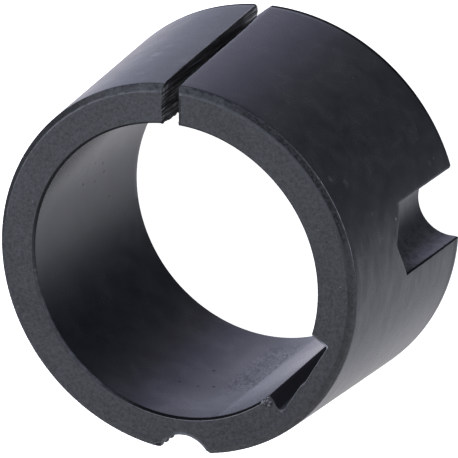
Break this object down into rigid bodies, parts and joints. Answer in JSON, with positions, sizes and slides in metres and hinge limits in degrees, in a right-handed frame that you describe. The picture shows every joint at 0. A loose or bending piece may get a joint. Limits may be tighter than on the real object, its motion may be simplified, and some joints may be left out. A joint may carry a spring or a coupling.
{
  "type": "taper bush",
  "caption": "Split tapered bush with a keyed bore that clamps a pulley or sprocket hub onto a shaft.",
  "frame": {"origin": "centre of the bore in the plane of the large-end face, on which the bush stands", "axes": "+Z along the bore axis from the large end to the small end; +X through one of the two plain screw half-holes; the saw cut is near +Y, the tapped half-hole near -Y and the keyway between +X and -Y"},
  "size_m": [0.0376, 0.0382, 0.0222],
  "materials": {
    "taper_bush": "satin black oxide on turned and ground faces, rough saw cut"
  },
  "bodies": {
    "root": {"taper_bush": "taper_bush"}
  },
  "joints": []
}
